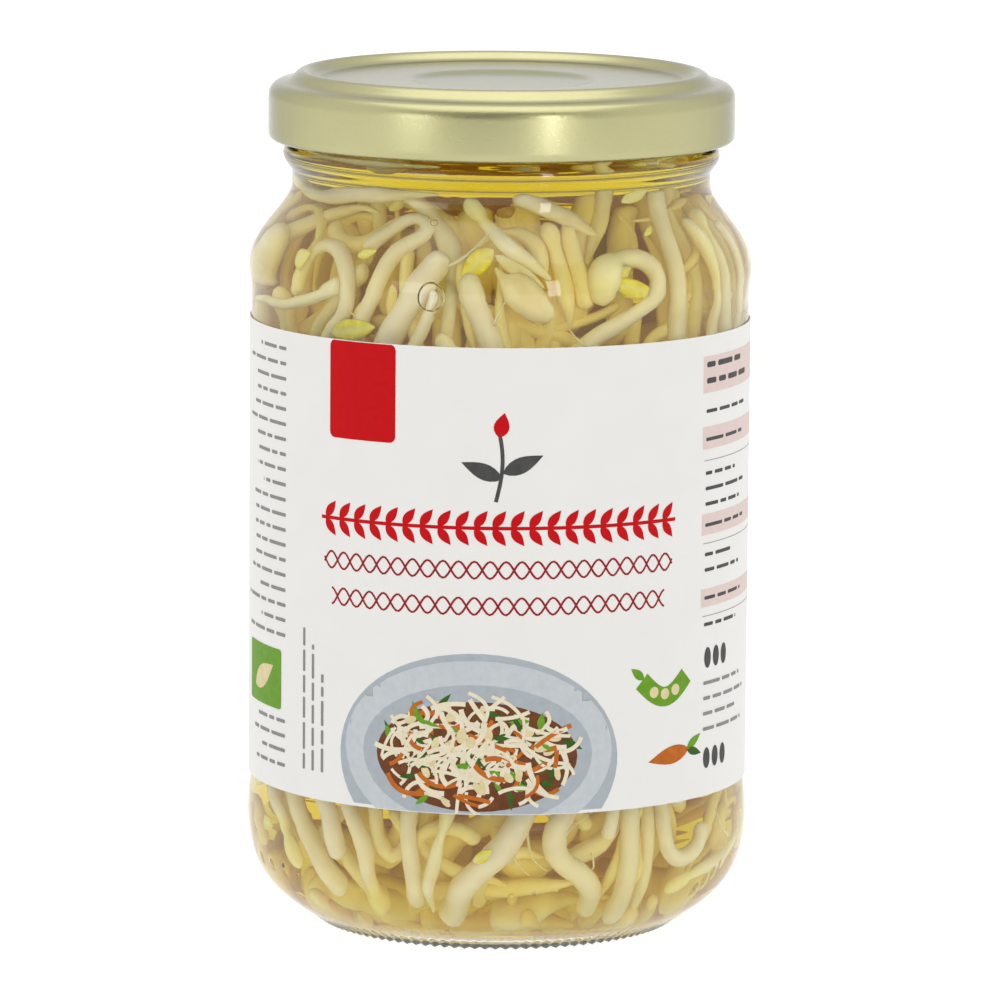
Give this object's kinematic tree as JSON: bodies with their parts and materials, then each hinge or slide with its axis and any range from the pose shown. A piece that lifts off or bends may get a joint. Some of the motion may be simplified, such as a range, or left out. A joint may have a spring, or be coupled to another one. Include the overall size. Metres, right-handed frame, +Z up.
{
  "type": "jar of bean sprouts",
  "caption": "Clear twist-off glass jar with a wrap-round paper label and a pressed steel lid, filled with hooked bean sprouts in brine.",
  "frame": {"origin": "centre of the foot, on the plane that the jar stands on", "axes": "+Z up along the jar's axis; -Y is the label's front; +X is to the right seen from the front"},
  "size_m": [0.0718, 0.0718, 0.1222],
  "materials": {
    "clear_glass": "gloss",
    "lacquered_steel": "satin",
    "sealing_compound": "satin",
    "label_paper": "satin",
    "brine": "gloss",
    "sprout_flesh": "satin"
  },
  "bodies": {
    "jar": {"glass_jar": "clear_glass", "wrap_label": "label_paper", "brine": "brine", "sprout_tangle": "sprout_flesh", "sprout_left_loop": "sprout_flesh", "sprout_hairpin": "sprout_flesh", "sprout_slanted": "sprout_flesh", "sprout_yellow_leaf": "sprout_flesh", "sprout_split_bean": "sprout_flesh", "sprout_right_loop": "sprout_flesh", "sprout_neck_curve": "sprout_flesh", "sprout_upright": "sprout_flesh", "sprout_side": "sprout_flesh", "sprout_heel_right": "sprout_flesh", "sprout_heel_slanted": "sprout_flesh", "sprout_heel_upright": "sprout_flesh", "sprout_heel_left": "sprout_flesh", "sprout_heel_hook": "sprout_flesh", "sprout_heel_far_left": "sprout_flesh", "sprout_01": "sprout_flesh", "sprout_02": "sprout_flesh", "sprout_03": "sprout_flesh", "sprout_04": "sprout_flesh", "sprout_05": "sprout_flesh", "sprout_06": "sprout_flesh", "sprout_07": "sprout_flesh", "sprout_08": "sprout_flesh", "sprout_09": "sprout_flesh", "sprout_10": "sprout_flesh", "sprout_11": "sprout_flesh", "sprout_12": "sprout_flesh", "sprout_13": "sprout_flesh", "sprout_14": "sprout_flesh", "sprout_15": "sprout_flesh", "sprout_16": "sprout_flesh", "sprout_17": "sprout_flesh", "sprout_18": "sprout_flesh", "sprout_19": "sprout_flesh", "sprout_20": "sprout_flesh"},
    "lid": {"lid_cap": "lacquered_steel", "sealing_ring": "sealing_compound"}
  },
  "joints": [
    {"name": "lid_turn", "type": "hinge", "parent": "jar", "child": "lid", "pos_m": [0, 0, 0.117], "axis": [0, 0, 1], "range_deg": [0, 66]}
  ]
}
